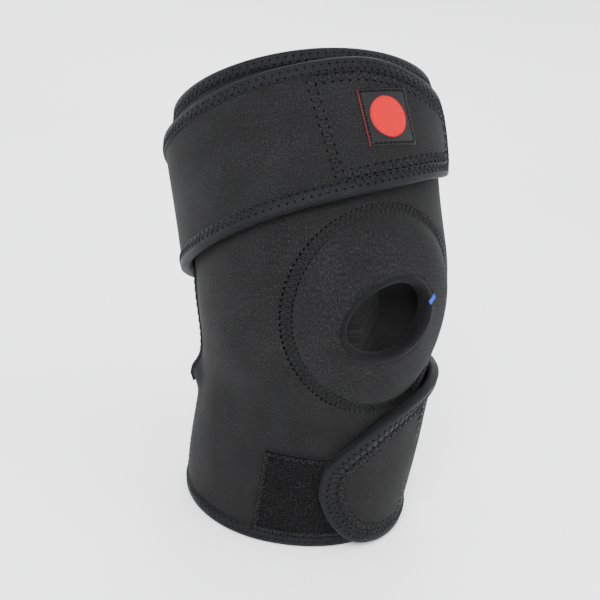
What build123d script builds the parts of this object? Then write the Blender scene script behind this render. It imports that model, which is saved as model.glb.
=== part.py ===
"""Wrap-around knee brace with an open patella, in millimetres.

One neoprene panel covers the front and the sides of the knee. A thigh strap and a calf
strap grow from its rear edges, go round the back of the limb and close on its front.
The shin stands on Z, the front of the knee faces -Y and the thigh leans back.
"""
from build123d import *
import math
import os

os.makedirs("parts", exist_ok=True)

# ---- The limb that the brace is cut for, measured to the panel's outer face ----
shin_length = 87.0            # straight part of the limb's axis, up to the bend
bend_radius = 80.0            # of the axis through the bend
knee_lean = 34.0              # degrees that the thigh leans back at rest
sleeve_length = 219.0         # along the axis, bottom edge to top edge
calf_half_width = 57.8
calf_half_depth = 55.0
shin_swell = (0.5, 1.0)       # added width and depth at the shin
knee_swell = (7.0, 11.2)      # added at the knee
thigh_swell = (3.5, 3.5)      # added at the thigh
shin_span = (0.0, 60.0)       # stretches of the axis over which each swell grows
knee_span = (70.0, 125.0)
thigh_span = (135.0, 214.0)
shin_set_forward = 1.0        # the section's centre moves off the axis
knee_set_forward = 2.0

# ---- Cloth, patches and tape ----
neoprene = 3.5
layer_gap = 0.3               # between layers that lie on each other
loop_thickness = 1.2
hook_thickness = 1.0
pad_thickness = 3.0
stitch_thickness = 0.4
stitch_sink = 0.35            # air under a stitch row
tape_thickness = 0.8
tape_clearance = 0.1
rear_clearance = 0.25         # of the tapes on the panel's rear edges
tape_width = 6.5
joint_gap = 0.25              # between two tapes that meet
end_gap = 0.5                 # degrees between two cloth ends that meet
grip_gap = 0.6                # between hook and loop where they grip
row_thickness = 0.2           # of the stitching on a loop patch

# ---- Panel outline: azimuths in degrees from the front, positive towards +X ----
left_edge = -116.0
right_edge = 121.0
corner_radius = 24.0          # at the upper left rear
edge_tape_wrap = 1.1          # degrees that the rear tape stands past the cloth

# ---- Patella opening, buttress and ring, seen square on at the knee ----
opening_width = 46.0
opening_height = 33.0
opening_tilt = 21.0
opening_across = 2.5
opening_up = -2.0
rim_thickness = 3.0
rim_proud = 1.0
rim_clearance = 0.2
ring_half_width = 49.0
ring_half_height = 48.0
ring_across = 6.0
ring_up = 2.0
ring_stitch_width = 6.5
tack_size = 4.0
tack_across = 26.5
tack_up = 8.5

# ---- Knee gaps: where the two halves part, degrees above the horizontal at the knee ----
front_gap = (7.0, 27.0)
rear_gap = (-35.0, -12.0)
hinge_clearance = 0.2

# ---- Thigh strap, heights along the thigh from the knee ----
thigh_fold = -100.0           # azimuth where the strap's front part hinges
thigh_tip = 66.0              # azimuth past the free end
thigh_low_edge = [(-74.0, 25.0), (-39.0, 32.0), (0.0, 39.0), (36.0, 49.0), (70.0, 60.0)]
thigh_high_edge = [(-74.0, 92.0), (-39.0, 97.0), (0.0, 101.0), (36.0, 95.0), (70.0, 85.0)]
thigh_end_across = 61.0
thigh_end_radius = 12.0
thigh_root_low = 33.0
thigh_root_high = 95.0
thigh_climb = (130.0, 235.0)  # azimuths over which the strap climbs on to the panel

# ---- Calf strap, heights above the bottom edge ----
calf_fold = 100.0             # azimuth where the strap's front part hinges
calf_tip = -24.0              # azimuth past the tab
calf_strap_foot = 2.0
calf_tab_edge = [(56.0, 86.0), (28.0, 81.0), (4.0, 69.0), (-10.0, 57.0), (-15.5, 40.0),
                 (-10.0, 19.0), (6.0, 6.0), (26.0, 2.0)]
calf_root_edge = [(-58.0, 60.0), (16.0, 64.0), (44.0, 74.0), (66.0, 87.0)]
calf_climb = (127.0, 235.0)

# ---- Hook and loop patches: azimuths and heights ----
calf_loop_span = (-43.0, 46.0)
calf_loop_heights = (7.0, 53.0)
calf_hook_from = 40.0
thigh_loop_span = (-34.0, 48.0)
thigh_loop_heights = (44.0, 88.0)
thigh_hook_from = -19.0
patch_margin = 7.6            # from the cloth's edge to the hook patch
patch_stitch_width = 2.6

# ---- Label on the thigh strap's end ----
label_width = 27.0
label_height = 27.5
label_across = 4.5
label_up = 72.8
label_tilt = 8.0
label_thickness = 0.5
label_border = 2.2
emblem_radius = 10.0
emblem_thickness = 0.8

# ---- Drafting steps ----
station_pitch = 14.0          # along the axis, between lofted sections
spare_stations = 1            # beyond the ends of a wall
azimuth_pitch = 12.0          # between the points of a section
reach = 130.0                 # longer than any cut has to go

bend_length = bend_radius * math.radians(knee_lean)
knee_height = shin_length + bend_radius * math.tan(math.radians(knee_lean / 2))
knee_to_bend_end = bend_radius * math.tan(math.radians(knee_lean / 2))
thigh_axis_start = shin_length + bend_length - knee_to_bend_end
loop_top = layer_gap + loop_thickness
hook_bottom = loop_top + grip_gap
hook_top = hook_bottom + hook_thickness
strap_top = hook_top + layer_gap + neoprene
slot = tape_clearance
tape_reach = tape_clearance + tape_thickness

lean_back = Vector(0, math.sin(math.radians(knee_lean)), math.cos(math.radians(knee_lean)))
thigh_forward = Vector(0, -math.cos(math.radians(knee_lean)), math.sin(math.radians(knee_lean)))
half_lean = math.radians(knee_lean / 2)
knee_point = Vector(0, 0, knee_height)
calf_front = Plane(origin=(0, 0, 0), x_dir=(1, 0, 0), z_dir=(0, -1, 0))
knee_front = Plane(origin=knee_point, x_dir=(1, 0, 0),
                   z_dir=(0, -math.cos(half_lean), math.sin(half_lean)))
thigh_front = Plane(origin=knee_point, x_dir=(1, 0, 0), z_dir=thigh_forward)
thigh_side = Plane(origin=knee_point, x_dir=thigh_forward * -1, z_dir=(1, 0, 0))


# ---- The limb's surface ----
def eased(value, span):
    """Rise from 0 to 1 over the span, level at both ends."""
    part = min(1.0, max(0.0, (value - span[0]) / (span[1] - span[0])))
    return part * part * (3 - 2 * part)


def section_plane(station):
    """Plane square to the limb's axis, with local x to the right and y to the back."""
    straight = station - shin_length
    if straight <= 0:
        return Plane(origin=(0, 0, station), x_dir=(1, 0, 0), z_dir=(0, 0, 1))
    if straight >= bend_length:
        along = straight - bend_length + knee_to_bend_end
        return Plane(origin=knee_point + lean_back * along, x_dir=(1, 0, 0), z_dir=lean_back)
    turn = straight / bend_radius
    centre = (0, bend_radius * (1 - math.cos(turn)), shin_length + bend_radius * math.sin(turn))
    return Plane(origin=centre, x_dir=(1, 0, 0), z_dir=(0, math.sin(turn), math.cos(turn)))


def half_size(station, start, index):
    """Half the width (index 0) or half the depth (index 1) of the section at a station."""
    swells = ((shin_swell, shin_span), (knee_swell, knee_span), (thigh_swell, thigh_span))
    return start + sum(swell[index] * eased(station, span) for swell, span in swells)


def wall_point(station, azimuth, level):
    """Point of the section at an azimuth, at a level above the panel's outer face."""
    turn = math.radians(azimuth)
    forward = shin_set_forward * eased(station, shin_span)
    forward += knee_set_forward * (eased(station, knee_span) - eased(station, thigh_span))
    width = half_size(station, calf_half_width, 0) + level
    depth = half_size(station, calf_half_depth, 1) + level
    return (width * math.sin(turn), -depth * math.cos(turn) - forward)


def spread(start, end, pitch):
    """Even steps from start to end, at most a pitch apart."""
    count = max(2, math.ceil((end - start) / pitch))
    return [start + (end - start) * step / count for step in range(count + 1)]


def level_of(level, azimuth):
    """A level is a number, or a function of the azimuth where a strap climbs."""
    return level(azimuth) if callable(level) else level


def add_wall(inner, outer, azimuths, stations, mode=Mode.ADD):
    """Loft a piece of wall between two levels, cut to its stations, into the part being built.

    Every wall is lofted through the same stations, so that walls at different levels lie
    evenly on each other.
    """
    across = spread(*azimuths, azimuth_pitch)
    first = math.floor(stations[0] / station_pitch) - spare_stations
    last = math.ceil(stations[1] / station_pitch) + spare_stations
    sections = []
    for station in [step * station_pitch for step in range(first, last + 1)]:
        with BuildSketch(section_plane(station)) as section:
            with BuildLine():
                far = Spline(*[wall_point(station, a, level_of(outer, a)) for a in across])
                near = Spline(*[wall_point(station, a, level_of(inner, a)) for a in across])
                Line(far @ 0, near @ 0)
                Line(far @ 1, near @ 1)
            make_face()
        sections.append(section.sketch)
    wall = loft(sections, mode=Mode.PRIVATE)
    for station, side in zip(stations, (Keep.TOP, Keep.BOTTOM)):
        wall = split(wall, bisect_by=section_plane(station), keep=side, mode=Mode.PRIVATE)
    add(wall, mode=mode)


# ---- Outlines that trim the walls ----
def add_opening(grow, mode):
    """Trim with the patella opening's outline, grown all round."""
    with BuildSketch(knee_front) as outline:
        with Locations((opening_across, opening_up)):
            Ellipse(opening_width / 2 + grow, opening_height / 2 + grow, rotation=opening_tilt)
    extrude(outline.sketch, amount=reach, mode=mode)


def add_ring(grow, mode):
    """Trim with the ring that the buttress is sewn along, grown all round."""
    with BuildSketch(knee_front) as outline:
        with Locations((ring_across, ring_up)):
            Ellipse(ring_half_width + grow, ring_half_height + grow)
    extrude(outline.sketch, amount=reach, mode=mode)


def keep_lower_half():
    """Keep what is below the knee's gaps."""
    keep_side(front_gap[0], rear_gap[0], -hinge_clearance, -reach)


def keep_upper_half():
    """Keep what is above the knee's gaps."""
    keep_side(front_gap[1], rear_gap[1], hinge_clearance, 2 * reach)


def keep_side(front_angle, rear_angle, middle, far):
    """Keep one side of the line that runs from the front, through the knee, to the rear."""
    with BuildSketch(Plane.YZ) as outline:
        front = knee_height + reach * math.tan(math.radians(front_angle)) + middle
        rear = knee_height + reach * math.tan(math.radians(rear_angle)) + middle
        with BuildLine():
            Polyline((-reach, far), (-reach, front), (0, knee_height + middle),
                     (reach, rear), (reach, far), close=True)
        make_face()
    extrude(outline.sketch, amount=reach, both=True, mode=Mode.INTERSECT)


def trim_thigh_corner(inset, mode=Mode.SUBTRACT):
    """Round the panel's upper left rear corner, or keep what is outside that corner."""
    top = sleeve_length - thigh_axis_start
    rear = half_size(sleeve_length, calf_half_depth, 1) * -math.cos(math.radians(left_edge))
    radius = corner_radius - inset
    centre = (rear - corner_radius, top - corner_radius)
    with BuildSketch(thigh_side) as outline:
        with Locations(centre):
            Rectangle(reach, reach, align=(Align.MIN, Align.MIN))
            Circle(radius, mode=Mode.SUBTRACT)
    extrude(outline.sketch, amount=-reach, mode=mode)


def shifted(points, inset):
    """Move a line of points square to itself, to its left, by the inset."""
    moved = []
    for index, (across, height) in enumerate(points):
        before = points[max(index - 1, 0)]
        after = points[min(index + 1, len(points) - 1)]
        run = (after[0] - before[0], after[1] - before[1])
        length = math.hypot(*run)
        moved.append((across - inset * run[1] / length, height + inset * run[0] / length))
    return moved


def sketch_thigh_end(inset):
    """Outline of the thigh strap's front part, with its rounded free end."""
    end = thigh_end_across - inset
    with BuildSketch(thigh_front) as outline:
        with BuildLine():
            low = Spline(*shifted(thigh_low_edge, inset))
            high = Spline(*shifted(thigh_high_edge, -inset))
            Line(low @ 1, high @ 1)
            Polyline(low @ 0, (-reach, (low @ 0).Y), (-reach, (high @ 0).Y), high @ 0)
        make_face()
        with Locations((end, 0)):
            Rectangle(2 * reach, 4 * reach, align=(Align.MAX, Align.CENTER), mode=Mode.INTERSECT)
        fillet(vertices().group_by(Axis.X)[-1], thigh_end_radius - inset)
    return outline.sketch


def sketch_thigh_root(inset):
    """Outline of the thigh strap's rear part, a plain band."""
    left_low = thigh_low_edge[0][1]
    left_high = thigh_high_edge[0][1]
    slope_low = (thigh_root_low - left_low) / reach
    slope_high = (thigh_root_high - left_high) / reach
    start = thigh_low_edge[0][0]
    with BuildSketch(thigh_front) as outline:
        with BuildLine():
            Polyline((-reach, left_low + inset), (start, left_low + inset),
                     (reach, left_low + inset + slope_low * (reach - start)),
                     (reach, left_high - inset + slope_high * (reach - start)),
                     (start, left_high - inset), (-reach, left_high - inset), close=True)
        make_face()
    return outline.sketch


def sketch_calf_end(inset):
    """Outline of the calf strap's front part, with its rounded tab."""
    with BuildSketch(calf_front) as outline:
        with BuildLine():
            edge = Spline(*shifted(calf_tab_edge, inset), tangents=[(-1, -0.1), (1, 0)])
            Polyline(edge @ 1, (reach, (edge @ 1).Y), (reach, (edge @ 0).Y), edge @ 0)
        make_face()
    return outline.sketch


def sketch_calf_root(inset):
    """Outline of the calf strap's rear part, a plain band."""
    foot = calf_strap_foot + inset
    with BuildSketch(calf_front) as outline:
        with BuildLine():
            edge = Spline(*shifted(calf_root_edge, -inset))
            Polyline(edge @ 1, (reach, (edge @ 1).Y), (reach, foot), (-reach, foot),
                     (-reach, (edge @ 0).Y), edge @ 0)
        make_face()
    return outline.sketch


def trim_with(outline, inset, mode=Mode.INTERSECT):
    """Trim the part being built with a strap's outline, inset all round."""
    extrude(outline(inset), amount=reach, both=True, mode=mode)


def thigh_climb_level(drop):
    """Level of the thigh strap's rear part, dropped from its outer face."""
    return lambda azimuth: strap_top * eased(azimuth, thigh_climb) - drop


def calf_climb_level(drop):
    """Level of the calf strap's rear part, dropped from its outer face."""
    return lambda azimuth: strap_top * eased(-azimuth, calf_climb) - drop


def front_level(drop):
    """Level of a strap's front part, which lies on the panel."""
    return lambda azimuth: strap_top - drop


def save(piece, name):
    """Label a finished piece and write it."""
    piece.part.label = name
    export_step(piece.part, f"parts/{name}.step")


# ---- Main panel, buttress, rim and ring, each in two halves that meet at the knee ----
halves = (("lower", keep_lower_half), ("upper", keep_upper_half))
knee_stations = (knee_height - 62.0, knee_height + 66.0)
front_azimuths = (-78.0, 84.0)
buttress_top = -neoprene - layer_gap
stitch_levels = (stitch_sink, stitch_sink + stitch_thickness)

for half, keep_half in halves:
    with BuildPart() as main_panel:
        add_wall(-neoprene, 0.0, (left_edge, right_edge), (tape_reach, sleeve_length - tape_reach))
        add_opening(rim_thickness + rim_clearance, Mode.SUBTRACT)
        trim_thigh_corner(tape_reach)
        keep_half()
    save(main_panel, f"main_panel_{half}")

    with BuildPart() as patella_pad:
        add_wall(buttress_top - pad_thickness, buttress_top, front_azimuths, knee_stations)
        add_ring(0.0, Mode.INTERSECT)
        add_opening(rim_thickness + rim_clearance, Mode.SUBTRACT)
        keep_half()
    save(patella_pad, f"patella_pad_{half}")

    with BuildPart() as patella_rim:
        add_wall(buttress_top - pad_thickness, rim_proud, front_azimuths, knee_stations)
        add_opening(rim_thickness, Mode.INTERSECT)
        add_opening(0.0, Mode.SUBTRACT)
        keep_half()
    save(patella_rim, f"patella_rim_{half}")

    with BuildPart() as ring_stitch:
        add_wall(*stitch_levels, front_azimuths, knee_stations)
        add_ring(ring_stitch_width / 2, Mode.INTERSECT)
        add_ring(-ring_stitch_width / 2, Mode.SUBTRACT)
        keep_half()
    save(ring_stitch, f"ring_stitch_{half}")

# ---- Tack that ends the rim's stitching, on the panel beside the rim ----
with BuildPart() as rim_tack:
    add_wall(stitch_levels[0], stitch_levels[1] + tape_thickness, front_azimuths, knee_stations)
    with BuildSketch(knee_front):
        with Locations((tack_across, tack_up)):
            Circle(tack_size / 2)
    extrude(amount=reach, mode=Mode.INTERSECT)
save(rim_tack, "rim_tack")

# ---- Edge tapes of the panel: each is a U folded over the cloth's edge ----
tape_levels = (-neoprene - tape_reach, tape_reach)
slot_levels = (-neoprene - slot, slot)

with BuildPart() as bottom_binding:
    add_wall(*tape_levels, (left_edge, right_edge), (0.0, tape_width))
    add_wall(*slot_levels, (left_edge - 2, right_edge + 2), (tape_thickness, tape_width + 2),
             mode=Mode.SUBTRACT)
save(bottom_binding, "bottom_binding")

corner_start = sleeve_length - corner_radius
left_wrap = left_edge - edge_tape_wrap
with BuildPart() as corner_slot:
    add_wall(*slot_levels, (left_edge, right_edge + 2), (corner_start - 4, sleeve_length - tape_thickness))
    trim_thigh_corner(tape_thickness)
with BuildPart() as corner_inside:
    add_wall(tape_levels[0] - 1, tape_levels[1] + 1, (left_edge + 6, right_edge + 2),
             (corner_start - 4, sleeve_length - tape_width))
    trim_thigh_corner(tape_width)
with BuildPart() as top_binding:
    add_wall(*tape_levels, (left_wrap, right_edge), (corner_start, sleeve_length))
    trim_thigh_corner(0.0)
    add(corner_inside.part, mode=Mode.SUBTRACT)
    add(corner_slot.part, mode=Mode.SUBTRACT)
save(top_binding, "top_binding")

tape_angle = math.degrees(tape_width / calf_half_width)
left_tape_span = (left_wrap, left_wrap + tape_angle)
right_tape_span = (right_edge + edge_tape_wrap - tape_angle, right_edge + edge_tape_wrap)
left_tape_stations = (calf_root_edge[0][1] + joint_gap, corner_start - joint_gap)
right_tape_stations = (tape_width + joint_gap, thigh_axis_start + thigh_root_low - 4)
rear_levels = (-neoprene - rear_clearance - tape_thickness, rear_clearance + tape_thickness)
rear_slot_levels = (-neoprene - rear_clearance, rear_clearance)

for half, keep_half in halves:
    with BuildPart() as rear_binding_left:
        add_wall(*rear_levels, left_tape_span, left_tape_stations)
        add_wall(*rear_slot_levels, (left_edge - rear_clearance, left_edge + 2 * tape_angle),
                 (left_tape_stations[0] - 2, left_tape_stations[1] + 2), mode=Mode.SUBTRACT)
        keep_half()
    save(rear_binding_left, f"rear_binding_left_{half}")

    with BuildPart() as rear_binding_right:
        add_wall(*rear_levels, right_tape_span, right_tape_stations)
        add_wall(*rear_slot_levels, (right_edge - 2 * tape_angle, right_edge + rear_clearance),
                 (right_tape_stations[0] - 2, right_tape_stations[1] + 2), mode=Mode.SUBTRACT)
        keep_half()
    save(rear_binding_right, f"rear_binding_right_{half}")

# ---- Loop patches on the panel, with the stitch rows that hold them ----
thigh_loop_stations = tuple(thigh_axis_start + height for height in thigh_loop_heights)
loops = (("calf", calf_loop_span, calf_loop_heights), ("thigh", thigh_loop_span, thigh_loop_stations))
row_levels = (loop_top + tape_clearance, loop_top + tape_clearance + row_thickness)
row_angle = math.degrees(patch_stitch_width / calf_half_width)

for name, span, stations in loops:
    with BuildPart() as loop_patch:
        add_wall(layer_gap, loop_top, span, stations)
    save(loop_patch, f"{name}_loop_patch")

    with BuildPart() as loop_stitch:
        add_wall(*row_levels, span, stations)
        add_wall(row_levels[0] - 1, row_levels[1] + 1, (span[0] + row_angle, span[1] - row_angle),
                 (stations[0] + patch_stitch_width, stations[1] - patch_stitch_width),
                 mode=Mode.SUBTRACT)
    save(loop_stitch, f"{name}_loop_stitch")

# ---- Straps: a rear part on the panel's edge and a front part that peels off ----
thigh_stations = (thigh_axis_start + 10.0, sleeve_length + 2.0)
calf_stations = (calf_strap_foot - 1.0, calf_tab_edge[0][1] + 6.0)
calf_edge_round = -360 + calf_fold
thigh_edge_round = 360 + thigh_fold
strap_parts = (
    ("thigh_strap_rear", thigh_climb_level, sketch_thigh_root, thigh_stations,
     (right_edge + end_gap, thigh_edge_round - end_gap)),
    ("thigh_strap_front", front_level, sketch_thigh_end, thigh_stations,
     (thigh_fold, thigh_tip)),
    ("calf_strap_rear", calf_climb_level, sketch_calf_root, calf_stations,
     (calf_edge_round + end_gap, left_edge - end_gap)),
    ("calf_strap_front", front_level, sketch_calf_end, calf_stations,
     (calf_tip, calf_fold)),
)

for name, level, outline, stations, span in strap_parts:
    with BuildPart() as band:
        add_wall(level(neoprene), level(0.0), span, stations)
        trim_with(outline, tape_reach)
    save(band, name)

    with BuildPart() as band_slot:
        add_wall(level(neoprene + slot), level(-slot), (span[0] - 2, span[1] + 2), stations)
        trim_with(outline, tape_thickness)
    with BuildPart() as binding:
        add_wall(level(neoprene + tape_reach), level(-tape_reach), span, stations)
        trim_with(outline, 0.0)
        trim_with(outline, tape_width, mode=Mode.SUBTRACT)
        add(band_slot.part, mode=Mode.SUBTRACT)
    save(binding, f"{name}_binding")

# ---- Hook patches inside the front parts, and the stitching that shows outside ----
hooks = (
    ("thigh", sketch_thigh_end, thigh_stations, (thigh_hook_from, thigh_tip)),
    ("calf", sketch_calf_end, calf_stations, (calf_tip, calf_hook_from)),
)
outer_rows = (strap_top + stitch_sink, strap_top + stitch_sink + stitch_thickness)

for name, outline, stations, span in hooks:
    with BuildPart() as hook_patch:
        add_wall(hook_bottom, hook_top, span, stations)
        trim_with(outline, patch_margin)
    save(hook_patch, f"{name}_hook_patch")

    inner_span = (span[0] + row_angle, span[1] - row_angle)
    with BuildPart() as stitch_middle:
        add_wall(outer_rows[0] - 1, outer_rows[1] + 1, inner_span, stations)
        trim_with(outline, patch_margin + patch_stitch_width)
    with BuildPart() as hook_stitch:
        add_wall(*outer_rows, span, stations)
        trim_with(outline, patch_margin)
        add(stitch_middle.part, mode=Mode.SUBTRACT)
    save(hook_stitch, f"{name}_hook_stitch")


# ---- Label, its border stitching and its emblem, one on the other ----
def trim_label(shrink, mode=Mode.INTERSECT):
    """Trim with the label's outline, shrunk all round."""
    with BuildSketch(thigh_front) as outline:
        with Locations((label_across, label_up)):
            Rectangle(label_width - 2 * shrink, label_height - 2 * shrink, rotation=label_tilt)
    extrude(outline.sketch, amount=reach, mode=mode)


label_base = strap_top + layer_gap
label_face = label_base + label_thickness
label_azimuths = (-20.0, 40.0)

with BuildPart() as label:
    add_wall(label_base, label_face, label_azimuths, thigh_stations)
    trim_label(0.0)
save(label, "label")

with BuildPart() as label_stitch:
    add_wall(label_face + stitch_sink, label_face + stitch_sink + stitch_thickness,
             label_azimuths, thigh_stations)
    trim_label(0.0)
    trim_label(label_border, mode=Mode.SUBTRACT)
save(label_stitch, "label_stitch")

with BuildPart() as label_emblem:
    add_wall(label_face + stitch_sink, label_face + stitch_sink + emblem_thickness,
             label_azimuths, thigh_stations)
    with BuildSketch(thigh_front):
        with Locations((label_across, label_up)):
            Circle(emblem_radius)
    extrude(amount=reach, mode=Mode.INTERSECT)
save(label_emblem, "label_emblem")
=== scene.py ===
"""Wrap-around knee brace with an open patella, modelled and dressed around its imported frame.

The neoprene panel, the two straps, their edge tapes, patches and stitching are sewn up here
as meshes on one shared limb surface. Lengths are in metres and azimuths in degrees from the
front of the knee, positive towards +X.
"""
import logging
import math
import random
from dataclasses import dataclass, field
from enum import Enum
from typing import Callable, Sequence

import bmesh
import bpy
import numpy as np
from mathutils import Matrix, Vector


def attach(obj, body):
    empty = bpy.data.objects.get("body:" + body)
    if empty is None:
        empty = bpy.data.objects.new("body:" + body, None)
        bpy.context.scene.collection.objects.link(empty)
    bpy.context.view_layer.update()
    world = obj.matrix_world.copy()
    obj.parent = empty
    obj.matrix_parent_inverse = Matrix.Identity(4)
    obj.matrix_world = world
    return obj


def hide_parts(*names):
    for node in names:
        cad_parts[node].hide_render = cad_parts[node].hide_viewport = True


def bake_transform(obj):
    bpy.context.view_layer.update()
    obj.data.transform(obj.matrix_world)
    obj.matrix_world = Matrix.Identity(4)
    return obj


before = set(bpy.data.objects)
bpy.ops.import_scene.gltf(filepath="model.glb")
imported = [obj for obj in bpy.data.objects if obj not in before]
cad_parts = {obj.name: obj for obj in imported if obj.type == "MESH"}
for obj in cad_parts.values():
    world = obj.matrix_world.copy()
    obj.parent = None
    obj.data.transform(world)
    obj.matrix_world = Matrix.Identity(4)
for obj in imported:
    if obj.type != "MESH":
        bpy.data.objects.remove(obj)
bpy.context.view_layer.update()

log = logging.getLogger("knee_brace")
MM = 0.001
Spot = tuple[float, float]
Profile = Sequence[tuple[float, float]]


class Body(str, Enum):
    """Bodies of the frame that the pieces ride on."""

    CALF = "calf_body"
    THIGH = "thigh_body"
    CALF_STRAP = "calf_strap"
    THIGH_STRAP = "thigh_strap"


class Slot(str, Enum):
    """Material slot names, handed to dress with each piece."""

    NEOPRENE = "neoprene"
    EDGE_TAPE = "edge_tape"
    RIM_TAPE = "rim_tape"
    THREAD = "thread"
    LABEL_THREAD = "label_thread"
    BLUE_THREAD = "blue_thread"
    LOOP_PILE = "loop_pile"
    HOOK_TAPE = "hook_tape"
    LABEL_CLOTH = "label_cloth"
    EMBLEM = "emblem_red"


def eased(value: float, start: float, end: float) -> float:
    """Rise from 0 to 1 between start and end, level at both ends."""
    part = min(1.0, max(0.0, (value - start) / (end - start)))
    return part * part * (3 - 2 * part)


def bell(distance: float, spread: float) -> float:
    """Bell curve, 1 at no distance."""
    return math.exp(-((distance / spread) ** 2))


# ---------------------------------------------------------------- the limb's surface
@dataclass(frozen=True)
class Limb:
    """The surface that the brace is cut to: the panel's outer face, bent at the knee."""

    shin_length: float = 87 * MM
    bend_radius: float = 80 * MM
    lean: float = math.radians(34)
    sleeve_length: float = 219 * MM
    half_width: float = 57.8 * MM
    half_depth: float = 55 * MM
    swells: tuple[tuple[float, float, float, float], ...] = (
        (0.5 * MM, 1.0 * MM, 0.0, 60 * MM),
        (7.0 * MM, 11.2 * MM, 70 * MM, 125 * MM),
        (3.5 * MM, 3.5 * MM, 135 * MM, 214 * MM),
    )

    @property
    def knee(self) -> Vector:
        """Point where the shin's axis and the thigh's axis meet."""
        return Vector((0, 0, self.shin_length + self.knee_run))

    @property
    def knee_run(self) -> float:
        """Length from the knee point to either end of the bend."""
        return self.bend_radius * math.tan(self.lean / 2)

    @property
    def thigh_start(self) -> float:
        """Station that a height of nothing above the knee stands for, on the thigh."""
        return self.shin_length + self.bend_radius * self.lean - self.knee_run

    @property
    def thigh_axis(self) -> Vector:
        """Direction of the thigh, upwards."""
        return Vector((0, math.sin(self.lean), math.cos(self.lean)))

    def section(self, station: float) -> tuple[Vector, float]:
        """Find a section of the limb.

        Args:
            station: length along the limb's axis from the bottom edge.

        Returns:
            The section's centre and how far it leans back, in radians.
        """
        past = station - self.shin_length
        if past <= 0:
            return Vector((0, 0, station)), 0.0
        turn = past / self.bend_radius
        if turn >= self.lean:
            return self.knee + self.thigh_axis * (station - self.thigh_start), self.lean
        rise = self.shin_length + self.bend_radius * math.sin(turn)
        return Vector((0, self.bend_radius * (1 - math.cos(turn)), rise)), turn

    def half_sizes(self, station: float) -> tuple[float, float]:
        """Half the width and half the depth of the section at a station."""
        width, depth = self.half_width, self.half_depth
        for wider, deeper, start, end in self.swells:
            width += wider * eased(station, start, end)
            depth += deeper * eased(station, start, end)
        return width, depth

    def base(self, azimuth: float, station: float, level: float) -> Vector:
        """Point at a level above the smooth surface, before any relief of the worn cloth."""
        centre, turn = self.section(station)
        width, depth = self.half_sizes(station)
        forward = MM * eased(station, 0, 60 * MM)
        forward += 2 * MM * (eased(station, 70 * MM, 125 * MM) - eased(station, 135 * MM, 214 * MM))
        angle = math.radians(azimuth)
        across = (width + level) * math.sin(angle)
        back = -(depth + level) * math.cos(angle) - forward
        return centre + Vector((across, back * math.cos(turn), -back * math.sin(turn)))

    def relief(self, azimuth: float, station: float) -> float:
        """Slow rise and fall of the worn cloth, the same for every layer."""
        angle = math.radians(azimuth)
        along = station / MM
        folds = 0.35 * math.sin(along / 11 + 2.2 * math.sin(angle * 1.5))
        folds *= 0.35 + bell((abs(azimuth) - 95), 40)
        swell = 0.45 * math.sin(3 * angle + along / 37) + 0.25 * math.sin(5 * angle - along / 23)
        return MM * (folds + swell)

    def point(self, azimuth: float, station: float, level: float = 0.0) -> Vector:
        """Point at a level above the worn surface."""
        return self.base(azimuth, station, level + self.relief(azimuth, station))

    def normal(self, azimuth: float, station: float) -> Vector:
        """Direction out of the smooth surface."""
        here = self.base(azimuth, station, 0)
        right = self.base(azimuth + 0.5, station, 0) - here
        up = self.base(azimuth, station + 0.5 * MM, 0) - here
        return right.cross(up).normalized()

    def stations_of(self, heights: Sequence[Spot]) -> list[Spot]:
        """Turn (azimuth, height on the thigh in mm) into (azimuth, station)."""
        return [(azimuth, self.thigh_start + height * MM) for azimuth, height in heights]


LIMB = Limb()


# ---------------------------------------------------------------- lines on the surface
def smooth_line(knots: Sequence[Spot], count: int) -> list[Spot]:
    """Draw a smooth line through spots of the surface.

    Args:
        knots: (azimuth, station) spots that the line passes.
        count: number of even steps along it.

    Returns:
        count + 1 spots, evenly spaced along the line.
    """
    degree = LIMB.half_width * math.pi / 180
    flat = [Vector((azimuth * degree, station)) for azimuth, station in knots]
    flat = [flat[0] * 2 - flat[1], *flat, flat[-1] * 2 - flat[-2]]
    dense: list[Vector] = []
    for first, start, end, last in zip(flat, flat[1:], flat[2:], flat[3:]):
        gaps = [max((b - a).length, 1e-7) ** 0.5 for a, b in ((first, start), (start, end), (end, last))]
        leave = (start - first) / gaps[0] - (end - first) / (gaps[0] + gaps[1]) + (end - start) / gaps[1]
        arrive = (end - start) / gaps[1] - (last - start) / (gaps[1] + gaps[2]) + (last - end) / gaps[2]
        leave, arrive = leave * gaps[1], arrive * gaps[1]
        for step in range(24):
            t = step / 24
            ease = t * t * (3 - 2 * t)
            dense.append(start * (1 - ease) + end * ease + leave * (t * (1 - t) ** 2) + arrive * (t * t * (t - 1)))
    dense.append(flat[-2])
    lengths = [0.0]
    for here, there in zip(dense, dense[1:]):
        lengths.append(lengths[-1] + (there - here).length)
    spots: list[Spot] = []
    index = 0
    for step in range(count + 1):
        wanted = lengths[-1] * step / count
        while index < len(dense) - 2 and lengths[index + 1] < wanted:
            index += 1
        run = max(lengths[index + 1] - lengths[index], 1e-9)
        here = dense[index].lerp(dense[index + 1], (wanted - lengths[index]) / run)
        spots.append((here.x / degree, here.y))
    return spots


@dataclass(frozen=True)
class Stop:
    """A place on a sewn line: where it is, and which way along, out and to the side are."""

    place: Vector
    along: Vector
    out: Vector

    @property
    def side(self) -> Vector:
        """Direction to the left of the line, in the surface."""
        return self.out.cross(self.along).normalized()


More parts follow.
